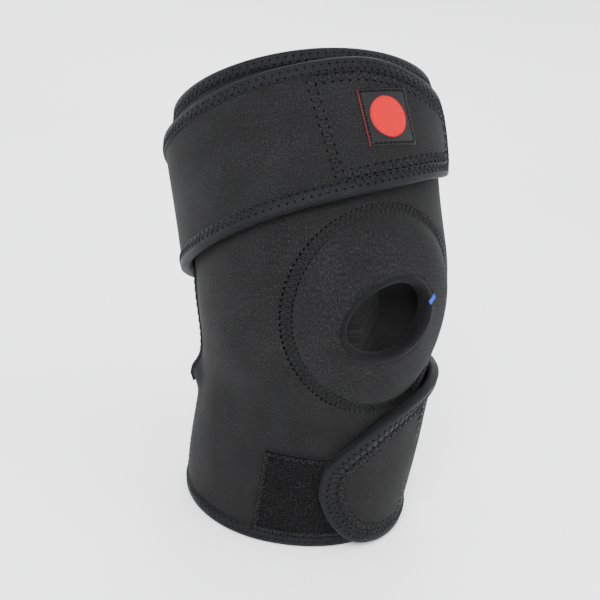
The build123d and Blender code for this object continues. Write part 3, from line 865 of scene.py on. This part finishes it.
@dataclass
class MainPanel:
    """The neoprene sheet round the front and the sides, its edge tapes and its loop patches."""

    wardrobe: Wardrobe
    opening: PatellaOpening
    columns: int = 150
    rows: int = 124
    corner: float = 24 * MM
    flare: float = 4.5 * MM
    flare_station: float = 66 * MM
    loop_tufts: int = 3600
    calf_loop: tuple[Spot, Spot] = ((-43.0, 46.0), (7 * MM, 53 * MM))
    thigh_loop: tuple[Spot, Spot] = field(default_factory=lambda: ((-34.0, 44.0), (LIMB.thigh_start + 55 * MM,
                                                                                  LIMB.thigh_start + 88 * MM)))

    def top_of(self, azimuth: float) -> float:
        """Station of the top edge, rounded down at the upper left rear."""
        inside = (azimuth - CUT.left_edge) * math.radians(EDGE_RADIUS)
        if inside >= self.corner:
            return LIMB.sleeve_length
        rest = self.corner - max(0.0, inside)
        return LIMB.sleeve_length - self.corner + math.sqrt(max(0.0, self.corner ** 2 - rest ** 2))

    def level(self, azimuth: float, station: float) -> float:
        """Level of the panel's outer face, with the opening's relief and the flared rear edge."""
        rear = eased(-azimuth, 96, 114)
        flare = self.flare * bell(station - self.flare_station, 7 * MM) * rear
        return self.opening.level(azimuth, station) + flare

    def build(self) -> list[bpy.types.Object]:
        """Make the sheet, the tapes, the patches and their stitching."""
        return [self.build_sheet(), *self.build_tapes(),
                *self.build_loop_patch("calf", self.calf_loop, Body.CALF),
                *self.build_loop_patch("thigh", self.thigh_loop, Body.THIGH)]

    def build_sheet(self) -> bpy.types.Object:
        """The sheet itself, cut out at the patella."""
        inset = 0.9 * MM
        left, right = CUT.left_edge, CUT.right_edge

        def spot(u: float, v: float) -> Spot:
            azimuth = left + (right - left) * u
            return azimuth, inset + (self.top_of(azimuth) - 2 * inset) * v

        width = math.radians(right - left) * (LIMB.half_width + 7 * MM)
        spots: dict[bmesh.types.BMVert, Spot] = {}
        mesh = grid_mesh(self.columns, self.rows, lambda u, v: Vector((u, v, 0)), (width, LIMB.sleeve_length))
        for vert in mesh.verts:
            spots[vert] = spot(vert.co.x, vert.co.y)
        hole = [vert for vert in mesh.verts if abs(spots[vert][0]) < 45 and self.opening.hole_field(*spots[vert]) < 1]
        bmesh.ops.delete(mesh, geom=hole, context="VERTS")
        for vert in mesh.verts:
            azimuth, station = spots[vert]
            if vert.is_boundary and abs(azimuth) < 45 and 60 * MM < station < 160 * MM:
                here = self.opening.square_on(azimuth, station)
                centre = Vector((self.opening.across, self.opening.up))
                size = self.opening.hole_field(azimuth, station)
                edge = centre + (here - centre) / max(size, 1e-6)
                spots[vert] = self.opening.spot_of(edge.x, edge.y)
        for vert in mesh.verts:
            vert.co = LIMB.point(*spots[vert], self.level(*spots[vert]))
        thicken(mesh, CUT.neoprene)
        sheet = self.wardrobe.dress(finish_mesh("main_panel", mesh), "jersey_neoprene", Slot.NEOPRENE)
        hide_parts("main_panel_lower", "main_panel_upper")
        bend_at_knee(sheet)
        return sheet

    def tape(self, name: str, spots: Sequence[Spot], nodes: Sequence[str], knee: bool,
             body: Body) -> list[bpy.types.Object]:
        """Fold a tape over an edge and sew it, with the edge to the left of the line."""
        stops = lay_line(spots, self.level)
        band = sweep(name, stops, tape_profile(CUT.tape_width, CUT.neoprene))
        self.wardrobe.dress(band, "binding_tape", Slot.EDGE_TAPE)
        threads, holes = self.wardrobe.sew(f"{name}_stitch", [tape_seam(stops)])
        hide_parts(*nodes)
        for piece in (band, threads, holes):
            if knee:
                bend_at_knee(piece)
            else:
                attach(piece, body.value)
        return [band, threads, holes]

    def build_tapes(self) -> list[bpy.types.Object]:
        """Edge tapes: bottom, top with its corner, left rear and right rear."""
        left, right = CUT.left_edge - 0.4, CUT.right_edge + 0.4
        foot = 0.9 * MM
        top = LIMB.sleeve_length - 0.9 * MM
        corner_low = LIMB.sleeve_length - self.corner
        degree = math.degrees(self.corner / EDGE_RADIUS)
        arc = [(left + degree * (1 - math.cos(turn)), corner_low + (self.corner - 0.9 * MM) * math.sin(turn))
               for turn in [math.pi / 2 * step / 10 for step in range(11)]]
        bottom = [(right + (left - right) * step / 120, foot) for step in range(121)]
        upper = [*arc, *[(arc[-1][0] + (right - arc[-1][0]) * step / 100, top) for step in range(1, 101)]]
        rise = 61 * MM
        left_side = [(left, rise + (corner_low - rise) * step / 70) for step in range(71)]
        right_low, right_high = 7 * MM, LIMB.thigh_start + 31 * MM
        right_side = [(right, right_high + (right_low - right_high) * step / 70) for step in range(71)]
        return [
            *self.tape("bottom_binding", bottom, ["bottom_binding"], False, Body.CALF),
            *self.tape("top_binding", upper, ["top_binding"], False, Body.THIGH),
            *self.tape("rear_binding_left", left_side, ["rear_binding_left_lower", "rear_binding_left_upper"],
                       True,
                       Body.CALF),
            *self.tape("rear_binding_right", right_side,
                       ["rear_binding_right_lower", "rear_binding_right_upper"], True,
                       Body.CALF),
        ]

    def build_loop_patch(self, name: str, area: tuple[Spot, Spot], body: Body) -> list[bpy.types.Object]:
        """Loop patch: a woven back with a napped pile, held by a zigzag."""
        (start, end), (low, high) = area
        width = math.radians(end - start) * LIMB.half_width

        def place(u: float, v: float) -> Vector:
            azimuth, station = start + (end - start) * u, low + (high - low) * v
            return LIMB.point(azimuth, station, self.level(azimuth, station) + 1.1 * MM)

        mesh = grid_mesh(60, 24, place, (width, high - low))
        thicken(mesh, 0.9 * MM)
        patch = self.wardrobe.dress(finish_mesh(f"{name}_loop_patch", mesh), "loop_pile", Slot.LOOP_PILE)
        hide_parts(f"{name}_loop_patch")
        fibres = random.Random(11)
        tufts = []
        for _ in range(self.loop_tufts):
            azimuth, station = fibres.uniform(start + 0.8,
                                              end - 0.8), fibres.uniform(low + 0.6 * MM, high - 0.6 * MM)
            spot = LIMB.point(azimuth, station, self.level(azimuth,
                                                           station) + (1.05 + fibres.uniform(0, 0.3)) * MM)
            out = LIMB.normal(azimuth, station)
            lie = Matrix.Rotation(fibres.uniform(0, math.tau), 4, out)
            tangent = (lie @ out.orthogonal()).normalized() * fibres.uniform(0.5, 1.1) * MM
            tufts.append(stretch_between(spot - tangent, spot + tangent + out * 0.3 * MM, out, 0.17 * MM))
        pile = self.wardrobe.dress(scatter(f"{name}_loop_pile", tufts, 4, 3), "pile_fibre", Slot.LOOP_PILE)
        frame_spots = rectangle_spots(start + 1.2, end - 1.2, low + 1.5 * MM, high - 1.5 * MM)
        stops = lay_line(frame_spots, lambda azimuth, station: self.level(azimuth, station) + 1.3 * MM,
                         closed=True)
        threads, holes = sew(f"{name}_loop_stitch", [Seam(stops, pitch=1.9 * MM, width=2.4 * MM,
                                                          thread=0.3 * MM)])
        self.wardrobe.dress(threads, "grey_thread" if body is Body.CALF else "black_thread", Slot.THREAD)
        self.wardrobe.dress(holes, "needle_shadow", Slot.THREAD)
        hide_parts(f"{name}_loop_stitch")
        for piece in (patch, pile, threads, holes):
            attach(piece, body.value)
        return [patch, pile, threads, holes]


def rectangle_spots(start: float, end: float, low: float, high: float) -> list[Spot]:
    """Spots round a rectangle of the surface, closed."""
    across = [start + (end - start) * step / 40 for step in range(41)]
    up = [low + (high - low) * step / 20 for step in range(21)]
    spots = [(azimuth, low) for azimuth in across] + [(end, station) for station in up[1:]]
    spots += [(azimuth, high) for azimuth in across[-2::-1]] + [(start, station) for station in up[-2::-1]]
    return spots


# ---------------------------------------------------------------- straps
EDGE_STEPS = 190


@dataclass
class Strap:
    """A strap that leaves the panel's rear edge, goes round the limb and closes on its front.

    low and high are the knots of its two edges, from the root to the tip of the free end,
    which they share. climb gives the azimuths over which it rises on to the panel.
    """

    wardrobe: Wardrobe
    name: str
    low: Sequence[Spot]
    high: Sequence[Spot]
    climb: tuple[float, float]
    fold: float
    bodies: tuple[Body, Body]
    hook_from: tuple[float, float]
    cut: tuple[float, float]
    cut_area: float
    columns: int = 190
    rows: int = 26
    margin: float = 7.6 * MM
    square_share: float = 0.94

    @property
    def turns_right(self) -> bool:
        """Whether the azimuth grows from the root to the tip."""
        return self.low[-1][0] > self.low[0][0]

    def level(self, azimuth: float, station: float) -> float:
        """Level of the strap's outer face, which presses down a little at its free end."""
        start, end = self.climb
        risen = eased((azimuth - start) / (end - start), 0, 1)
        close = bell(azimuth - self.low[-1][0], 15) * 1.9 * MM
        return CUT.strap_level * risen - close

    def edge_spots(self, inset: float, count: int) -> tuple[list[Spot], list[Spot]]:
        """Both edges from root to tip, moved in by an inset."""
        low, high = smooth_line(self.low, count), smooth_line(self.high, count)
        if inset == 0:
            return low, high
        outline = [*low, *high[-2::-1]]
        sign = 1 if self.turns_right else -1
        moved = shift_line(outline, inset * sign)
        return moved[:count + 1], moved[count:][::-1]

    def outline_stops(self) -> list[Stop]:
        """The strap's outline laid on the limb, with the edge on the left of the line."""
        low, high = self.edge_spots(0.0, EDGE_STEPS)
        spots = [*low, *high[-2::-1]]
        if self.turns_right:
            spots = spots[::-1]
        return lay_line(spots, self.level)

    def fold_blend(self, piece: bpy.types.Object) -> None:
        """Bake a piece's transform into its mesh; the hinge where the strap's front part peels off is found, but
        nothing bends there.
        """
        middle = sum(spot[1] for spot in (self.low[1], self.high[1])) / 2
        hinge = LIMB.base(self.fold, middle, CUT.strap_level)
        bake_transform(piece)

    def build(self) -> list[bpy.types.Object]:
        """Make the band, its tape, its hook patch and the stitching that shows outside."""
        return [self.build_band(), *self.build_tape(), *self.build_hooks(), *self.build_root_seam()]

    def lattice(self, inset: float) -> Callable[[float, float], Spot]:
        """Spots of the strap for u from root to end and v from low edge to high edge, inside an inset."""
        low, high = self.edge_spots(inset, self.columns)
        split = round(self.columns * self.square_share)
        end = [*low[split:], *high[-2:split - 1:-1]]

        def between(line: Sequence[Spot], part: float) -> Vector:
            index = min(int(part * (len(line) - 1)), len(line) - 2)
            return Vector(line[index]).lerp(Vector(line[index + 1]), part * (len(line) - 1) - index)

        def spot(u: float, v: float) -> Spot:
            straight = between(low[:split + 1], u).lerp(between(high[:split + 1], u), v)
            chord = Vector(low[split]).lerp(Vector(high[split]), v)
            bowed = straight + (between(end, v) - chord) * eased(u, 0.75, 1.0) ** 1.5
            return bowed.x, bowed.y

        return spot

    def lay_sheet(self, inset: float, start: float, counts: tuple[int, int], drop: float,
                  thickness: float) -> bmesh.types.BMesh:
        """Lay a sheet of the strap's shape.

        Args:
            inset: distance inside the strap's edge.
            start: part of the strap's length where the sheet starts.
            counts: faces along and across.
            drop: depth of the sheet's outer face below the strap's.
            thickness: the sheet's thickness.

        Returns:
            The thick sheet.
        """
        lattice = self.lattice(inset)

        def place(u: float, v: float) -> Vector:
            azimuth, station = lattice(start + (1 - start) * u, v)
            return LIMB.point(azimuth, station, self.level(azimuth, station) - drop)

        length = math.radians(abs(self.low[-1][0] - self.low[0][0])) * (LIMB.half_width + 8 * MM)
        mesh = grid_mesh(*counts, place, (length * (1 - start), 68 * MM - 2 * inset))
        thicken(mesh, thickness)
        return mesh

    def build_band(self) -> bpy.types.Object:
        """The neoprene band."""
        mesh = self.lay_sheet(0.9 * MM, 0, (self.columns, self.rows), 0, CUT.neoprene)
        band = self.wardrobe.dress(finish_mesh(f"{self.name}_band", mesh), "jersey_neoprene", Slot.NEOPRENE)
        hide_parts(f"{self.name}_rear", f"{self.name}_front")
        self.fold_blend(band)
        return band

    def build_tape(self) -> list[bpy.types.Object]:
        """Tape folded over the edge all round, with the zigzag that sews it."""
        stops = self.outline_stops()
        band = sweep(f"{self.name}_binding", stops, tape_profile(CUT.tape_width, CUT.neoprene))
        self.wardrobe.dress(band, "binding_tape", Slot.EDGE_TAPE)
        threads, holes = self.wardrobe.sew(f"{self.name}_binding_stitch", [tape_seam(stops)])
        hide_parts(f"{self.name}_rear_binding", f"{self.name}_front_binding")
        for piece in (band, threads, holes):
            self.fold_blend(piece)
        return [band, threads, holes]

    def past_hook(self, azimuth: float, side: int) -> bool:
        """Whether an azimuth lies over the hook patch, on the low side (0) or the high side (1)."""
        return azimuth > self.hook_from[side] if self.turns_right else azimuth < self.hook_from[side]

    def hook_outline(self, inset: float) -> list[Spot]:
        """Closed outline of the hook patch."""
        low, high = self.edge_spots(inset, EDGE_STEPS)
        low = [spot for spot in low if self.past_hook(spot[0], 0)]
        high = [spot for spot in high if self.past_hook(spot[0], 1)]
        return [*low, *high[-2::-1], low[0]]

    def build_hooks(self) -> list[bpy.types.Object]:
        """Hook patch inside, its rows of hooks, and its zigzag that shows outside."""
        short = self.name.split("_")[0]
        lattice = self.lattice(self.margin)
        start = next(step / 200 for step in range(200) if self.past_hook(lattice(step / 200, 0.5)[0], 0))
        inner = CUT.neoprene + 0.3 * MM
        mesh = self.lay_sheet(self.margin, start, (60, 20), inner, 0.5 * MM)
        patch = self.wardrobe.dress(finish_mesh(f"{short}_hook_patch", mesh), "hook_tape", Slot.HOOK_TAPE)
        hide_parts(f"{short}_hook_patch")
        nubs = []
        columns, rows = 50, 30
        for column in range(1, columns):
            for row in range(1, rows):
                azimuth, station = lattice(start + (1 - start) * column / columns, row / rows)
                spot = LIMB.point(azimuth, station, self.level(azimuth, station) - inner - 0.75 * MM)
                out = LIMB.normal(azimuth, station)
                stem = out * 0.35 * MM
                nubs.append(stretch_between(spot - stem, spot + stem, out.orthogonal(), 0.2 * MM))
        hooks = self.wardrobe.dress(scatter(f"{short}_hooks", nubs, 4, 3), "hook_tape", Slot.HOOK_TAPE)
        stops = lay_line(self.hook_outline(self.margin + 1.2 * MM),
                         lambda azimuth, station: self.level(azimuth, station) + 0.05 * MM, closed=True)
        threads, holes = self.wardrobe.sew(f"{short}_hook_stitch",
                                           [Seam(stops, pitch=2.1 * MM, width=3.6 * MM, thread=0.38 * MM,
                                                           lift=0.14 * MM, hole=0.7 * MM)], "grey_thread")
        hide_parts(f"{short}_hook_stitch")
        for piece in (patch, hooks, threads, holes):
            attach(piece, self.bodies[1].value)
        return [patch, hooks, threads, holes]

    def build_root_seam(self) -> list[bpy.types.Object]:
        """Zigzag that joins the strap's root to the panel's rear edge."""
        root = self.low[0][0]
        low, high = self.low[0][1] + 3 * MM, self.high[0][1] - 3 * MM
        steps = 30
        spots = [(root, low + (high - low) * step / steps) for step in range(steps + 1)]
        stops = lay_line(spots, level_at(0.15 * MM))
        threads, holes = self.wardrobe.sew(f"{self.name}_root_seam",
                                           [Seam(stops, pitch=1.8 * MM, width=6 * MM, thread=0.34 * MM)])
        for piece in (threads, holes):
            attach(piece, self.bodies[0].value)
        return [threads, holes]


def shift_line(spots: Sequence[Spot], inset: float) -> list[Spot]:
    """Move a line of spots to its left by an inset."""
    degree = LIMB.half_width * math.pi / 180
    moved = []
    for index, (azimuth, station) in enumerate(spots):
        before, after = spots[max(index - 1, 0)], spots[min(index + 1, len(spots) - 1)]
        run = Vector(((after[0] - before[0]) * degree, after[1] - before[1]))
        length = max(run.length, 1e-9)
        moved.append((azimuth - inset * run.y / length / degree, station + inset * run.x / length))
    return moved


# ---------------------------------------------------------------- label
@dataclass
class Label:
    """Woven label with a plain embroidered disc, sewn on the thigh strap's end."""

    wardrobe: Wardrobe
    strap: Strap
    width: float = 27 * MM
    height: float = 27.5 * MM
    across: float = 4.5 * MM
    up: float = 72.8 * MM
    tilt: float = math.radians(8)
    disc: float = 10 * MM

    def spot(self, x: float, y: float) -> Spot:
        """Spot of the thigh strap at a place on the label."""
        across = self.across + x * math.cos(self.tilt) - y * math.sin(self.tilt)
        up = self.up + x * math.sin(self.tilt) + y * math.cos(self.tilt)
        station = LIMB.thigh_start + up
        width = LIMB.half_sizes(station)[0] + CUT.strap_level
        return math.degrees(math.asin(across / width)), station

    def stop(self, x: float, y: float, lift: float) -> Vector:
        """Point above the strap at a place on the label."""
        azimuth, station = self.spot(x, y)
        return LIMB.point(azimuth, station, self.strap.level(azimuth + 360, station) + lift)

    def outline(self, inset: float, lift: float) -> list[Stop]:
        """Closed rectangle on the label."""
        half_x, half_y = self.width / 2 - inset, self.height / 2 - inset
        corners = [(-half_x, -half_y), (half_x, -half_y), (half_x, half_y), (-half_x, half_y),
                   (-half_x, -half_y)]
        spots, steps = [], 12
        for (ax, ay), (bx, by) in zip(corners, corners[1:]):
            spots += [self.spot(ax + (bx - ax) * step / steps, ay + (by - ay) * step / steps)
                      for step in range(steps)]
        spots.append(spots[0])
        return lay_line(spots, lambda azimuth, station: self.strap.level(azimuth + 360, station) + lift,
                        closed=True)

    def build(self) -> list[bpy.types.Object]:
        """Make the woven ground, the disc, its satin rows and the border stitching."""
        def ground(u: float, v: float) -> Vector:
            x, y = (u - 0.5) * self.width, (v - 0.5) * self.height
            edge = max(abs(u - 0.5), abs(v - 0.5)) * 2
            return self.stop(x, y, 0.75 * MM - 0.35 * MM * eased(edge, 0.86, 1.0))

        mesh = grid_mesh(24, 28, ground, (self.width, self.height))
        thicken(mesh, 0.45 * MM)
        cloth = self.wardrobe.dress(finish_mesh("label", mesh), "label_satin", Slot.LABEL_CLOTH)
        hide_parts("label")

        rows = []
        count, run, level = 52, 2.4 * MM, 0.95 * MM
        for row in range(count):
            y = self.disc * (2 * (row + 0.5) / count - 1)
            half = math.sqrt(self.disc ** 2 - y ** 2)
            pieces = max(1, round(half / run))
            for part in range(pieces):
                shift = 0.5 if row % 2 else 0.0
                a = -half + 2 * half * max(0, part - shift) / pieces
                b = -half + 2 * half * min(pieces, part + 1 - shift) / pieces
                start, end = self.stop(a, y, level), self.stop(b, y, level)
                azimuth, station = self.spot(a, y)
                rows.append(stretch_between(start, end, LIMB.normal(azimuth, station), 0.3 * MM))

        def puck(u: float, v: float) -> Vector:
            turn, size = math.tau * u, self.disc * v
            return self.stop(size * math.cos(turn), size * math.sin(turn),
                             1.05 * MM - 0.3 * MM * eased(v, 0.9, 1.0))

        disc_mesh = grid_mesh(48, 8, puck, (60 * MM, self.disc))
        bmesh.ops.remove_doubles(disc_mesh, verts=disc_mesh.verts[:], dist=1e-6)
        thicken(disc_mesh, 0.35 * MM)
        disc = self.wardrobe.dress(finish_mesh("label_emblem", disc_mesh), "red_embroidery", Slot.EMBLEM)
        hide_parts("label_emblem")
        satin = self.wardrobe.dress(scatter("label_emblem_rows", rows, 5, 4), "red_embroidery", Slot.EMBLEM)
        threads, holes = self.wardrobe.sew("label_stitch",
                                           [Seam(self.outline(1.1 * MM, 0.7 * MM), pitch=1.3 * MM,
                                                 thread=0.24 * MM,
                                                  lift=0.12 * MM)], "label_border", slot=Slot.LABEL_THREAD)
        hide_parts("label_stitch")
        selvage = []
        for step in range(24):
            y = self.height * ((step + 0.5) / 24 - 0.5)
            ends = [self.stop(-self.width / 2 + 0.15 * MM, y + self.height / 56 * side,
                              0.5 * MM) for side in (-1, 1)]
            selvage.append(stretch_between(*ends, LIMB.normal(*self.spot(-self.width / 2, y)), 0.13 * MM))
        red_edge = self.wardrobe.dress(scatter("label_edge", selvage, 5, 4), "red_embroidery", Slot.EMBLEM)
        pieces_made = [cloth, disc, satin, threads, holes, red_edge]
        for piece in pieces_made:
            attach(piece, Body.THIGH_STRAP.value)
        return pieces_made


# ---------------------------------------------------------------- studio
@dataclass(frozen=True)
class Studio:
    """Pale floor, soft lights and the camera."""

    azimuth: float = math.radians(-27.7)
    elevation: float = math.radians(19.6)
    roll: float = math.radians(9.5)
    distance: float = 461.6 * MM
    lens: float = 52.9
    aim_right: float = -11.3 * MM
    aim_up: float = 2.4 * MM
    floor_flat: float = 1.0
    floor_reach: float = 3.2
    bowl_height: float = 2.6

    def build(self) -> None:
        """Set the floor, the lights and the camera."""
        def bowl(u: float, v: float) -> Vector:
            reach = self.floor_reach * v ** 1.5
            rise = self.bowl_height * eased(reach, self.floor_flat, self.floor_reach)
            return Vector((reach * math.cos(math.tau * u), reach * math.sin(math.tau * u), rise - 0.3 * MM))

        mesh = grid_mesh(64, 48, bowl, (1, 1))
        bmesh.ops.remove_doubles(mesh, verts=mesh.verts[:], dist=1e-6)
        floor = finish_mesh("floor", mesh)
        plaster = bpy.data.materials.new("pale_floor")
        plaster.use_nodes = True
        plaster.node_tree.nodes["Principled BSDF"].inputs["Base Color"].default_value = (0.96, 0.96, 0.955, 1)
        plaster.node_tree.nodes["Principled BSDF"].inputs["Roughness"].default_value = 0.9
        floor.data.materials.append(plaster)
        world = bpy.data.worlds.new("studio")
        world.use_nodes = True
        world.node_tree.nodes["Background"].inputs["Color"].default_value = (0.95, 0.96, 1.0, 1)
        world.node_tree.nodes["Background"].inputs["Strength"].default_value = 1.95
        bpy.context.scene.world = world
        for name, place, size, power in (("key", (-0.7, -0.8, 1.0), 0.5, 30),
                                         ("fill", (0.9, -0.7, 0.6), 0.8, 8),
                                         ("back", (0.4, 0.9, 0.9), 0.7, 12)):
            lamp = bpy.data.lights.new(name, "AREA")
            lamp.size, lamp.energy = size, power
            light = bpy.data.objects.new(name, lamp)
            light.location = place
            light.rotation_euler = (LIMB.knee - Vector(place)).to_track_quat("-Z", "Y").to_euler()
            bpy.context.scene.collection.objects.link(light)
        self.build_camera()

    def build_camera(self) -> None:
        """Aim the camera at the front left of the knee, from a little above."""
        back = Vector((math.sin(self.azimuth) * math.cos(self.elevation),
                       -math.cos(self.azimuth) * math.cos(self.elevation), math.sin(self.elevation)))
        right = Vector((math.cos(self.azimuth), math.sin(self.azimuth), 0))
        up = back.cross(right)
        turned_right = right * math.cos(self.roll) + up * math.sin(self.roll)
        turned_up = up * math.cos(self.roll) - right * math.sin(self.roll)
        lens = bpy.data.cameras.new("camera")
        lens.lens = self.lens
        camera = bpy.data.objects.new("camera", lens)
        place = LIMB.knee + back * self.distance + turned_right * self.aim_right + turned_up * self.aim_up
        axes = Matrix((turned_right, turned_up, back)).transposed().to_4x4()
        camera.matrix_world = Matrix.Translation(place) @ axes
        bpy.context.scene.collection.objects.link(camera)
        bpy.context.scene.camera = camera


def thigh_strap(wardrobe: Wardrobe) -> Strap:
    """The thigh strap, which leaves the right rear edge."""
    low = [(121.5, 33.2), (180, 29.6), (270, 25), (300, 27.5), (329, 32), (360, 39), (389, 49), (401, 53.5),
           (408, 58), (411.4, 65), (411.9, 72.5)]
    high = [(121.5, 95.1), (180, 93.7), (270, 92), (300, 94.5), (329, 97.5), (360, 100.5), (389, 95),
            (401, 91.5),
            (408, 86.5), (411.4, 80), (411.9, 72.5)]
    return Strap(wardrobe, "thigh_strap", LIMB.stations_of(low), LIMB.stations_of(high), (130, 235), -100,
                 (Body.THIGH, Body.THIGH_STRAP), (341, 335), (0.385, 0.072), 0.0235)


def calf_strap(wardrobe: Wardrobe) -> Strap:
    """The calf strap, which leaves the left rear edge."""
    low = [(-116.5, 2.2), (-180, 2.2), (-260, 2.2), (-330, 2.2), (-342, 3.2), (-353, 6.5), (-361, 12.5),
           (-368, 21.5),
           (-372.5, 31), (-373.8, 40)]
    high = [(-116.5, 60), (-180, 63), (-219, 70), (-260, 84), (-305, 86.5), (-332, 82), (-346, 76),
            (-357, 68),
            (-367.5, 57), (-372.6, 48.5), (-373.8, 40)]
    scaled_low = [(azimuth, height * MM) for azimuth, height in low]
    scaled_high = [(azimuth, height * MM) for azimuth, height in high]
    return Strap(wardrobe, "calf_strap", scaled_low, scaled_high, (-127, -235), 100,
                 (Body.CALF, Body.CALF_STRAP), (-320, -320), (0.325, 0.086), 0.0212)


def main() -> None:
    """Build the studio and every piece of the brace, in order."""
    logging.basicConfig(level=logging.INFO, format="%(message)s")
    Studio().build()
    wardrobe = Wardrobe()
    opening = PatellaOpening(wardrobe)
    panel = MainPanel(wardrobe, opening)
    upper, lower = thigh_strap(wardrobe), calf_strap(wardrobe)
    made = [*panel.build(), *opening.build(), *upper.build(), *lower.build(), *Label(wardrobe, upper).build()]
    for piece in made:
        log.info("%s: %d faces", piece.name, len(piece.data.polygons))


if __name__ == "__main__":
    main()
